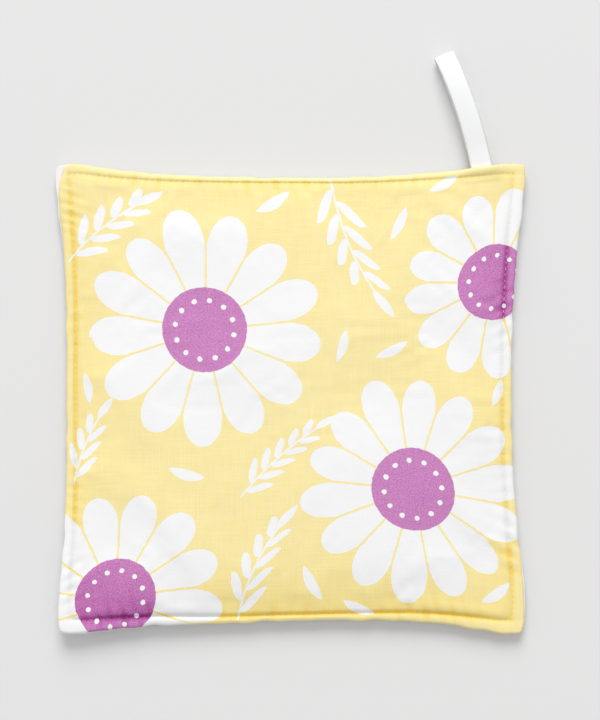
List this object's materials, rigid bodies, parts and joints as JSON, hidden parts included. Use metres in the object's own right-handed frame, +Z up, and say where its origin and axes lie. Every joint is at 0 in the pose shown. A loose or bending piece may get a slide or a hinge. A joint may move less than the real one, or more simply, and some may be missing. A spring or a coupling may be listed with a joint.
{
  "type": "pot holder",
  "caption": "Square padded pot holder with a printed canvas front, a white back, a topstitched edge, drawn-in sides and a folded tape to hang it by.",
  "frame": {"origin": "middle of the pad's underside, on the surface that it lies on", "axes": "+Z up, out of the printed face; +Y towards the edge that holds the tape; +X to the right"},
  "size_m": [0.2174, 0.2707, 0.01],
  "materials": {
    "printed_canvas": "plain-weave cotton canvas printed in yellow, white and purple",
    "white_cloth": "plain white cotton cloth",
    "white_tape": "white cotton twill tape"
  },
  "bodies": {
    "root": {"front_panel": "printed_canvas", "back_panel": "white_cloth", "hanging_loop": "white_tape"}
  },
  "joints": []
}
